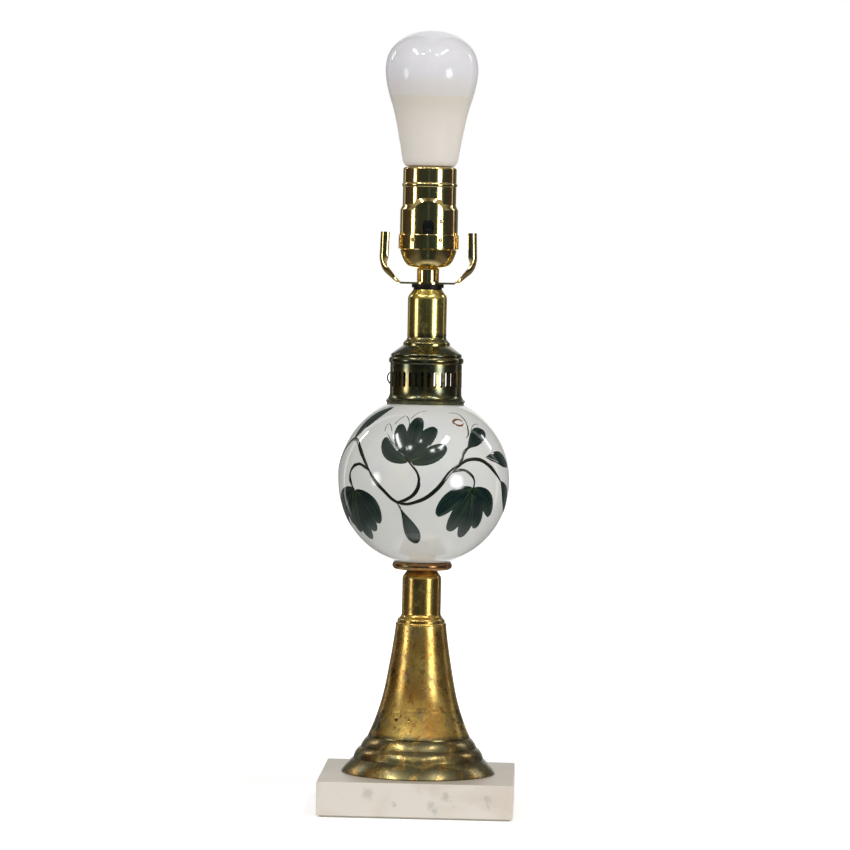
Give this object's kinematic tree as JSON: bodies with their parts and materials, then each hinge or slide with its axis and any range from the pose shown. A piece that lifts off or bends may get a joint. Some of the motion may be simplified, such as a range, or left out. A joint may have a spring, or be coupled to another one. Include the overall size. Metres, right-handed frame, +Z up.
{
  "type": "table lamp",
  "caption": "Table lamp with a marble base, trumpet-shaped brass foot, painted glass globe, pierced brass gallery, harp saddle and a brass socket with a screw-in bulb.",
  "frame": {"origin": "centre of the felt's underside, where the lamp stands", "axes": "+Z up the lamp's axis, -Y towards the front, where the switch rod's front end is, +X to the right"},
  "size_m": [0.118, 0.118, 0.4751],
  "materials": {
    "marble": "honed, faint grey clouds",
    "felt": "felt",
    "aged_brass": "aged, with brown and green patina",
    "bright_brass": "polished",
    "opal_glass": "gloss opal white with painted green leaves",
    "steel": "zinc plated",
    "blackened_steel": "blackened",
    "black_plastic": "moulded",
    "fibre": "pressed fibre",
    "aluminium": "plain",
    "white_plastic": "satin",
    "frosted_plastic": "frosted",
    "circuit_board": "solder mask",
    "led_chip": "phosphor"
  },
  "bodies": {
    "lamp": {"marble_base": "marble", "felt_pad": "felt", "cord_bushing": "black_plastic", "bottom_washer": "steel", "bottom_nut": "steel", "threaded_rod": "steel", "trumpet_foot": "aged_brass", "lower_neck": "aged_brass", "seat_ring": "aged_brass", "globe": "opal_glass", "gallery_collar": "aged_brass", "upper_neck": "aged_brass", "lock_ring": "blackened_steel", "saddle_washer": "blackened_steel", "harp_saddle": "bright_brass", "socket_cap": "bright_brass", "cap_set_screw": "steel", "socket_shell": "bright_brass", "shell_liner": "fibre", "switch_body": "black_plastic", "terminal_screws": "steel", "screw_shell": "aluminium", "centre_contact": "bright_brass"},
    "switch": {"switch_rod": "black_plastic"},
    "bulb_tip": {"bulb_base_insulator": "black_plastic", "bulb_contact": "aluminium"},
    "bulb": {"bulb_screw_base": "aluminium", "bulb_housing": "white_plastic", "bulb_diffuser": "frosted_plastic", "led_board": "circuit_board", "led_chips": "led_chip", "driver_board": "circuit_board"}
  },
  "joints": [
    {"name": "switch_push", "type": "slide", "parent": "lamp", "child": "switch", "axis": [0, -1, 0], "range_m": [0, 0.0064]},
    {"name": "bulb_lift", "type": "slide", "parent": "lamp", "child": "bulb_tip", "axis": [0, 0, 1], "range_m": [0, 0.0202]},
    {"name": "bulb_turn", "type": "hinge", "parent": "bulb_tip", "child": "bulb", "pos_m": [0, 0, 0.392], "axis": [0, 0, 1], "range_deg": [0, 1980]}
  ],
  "couplings": [
    {"joint": "bulb_lift", "follows": "bulb_turn", "m_per_rad": 0.00057757}
  ]
}
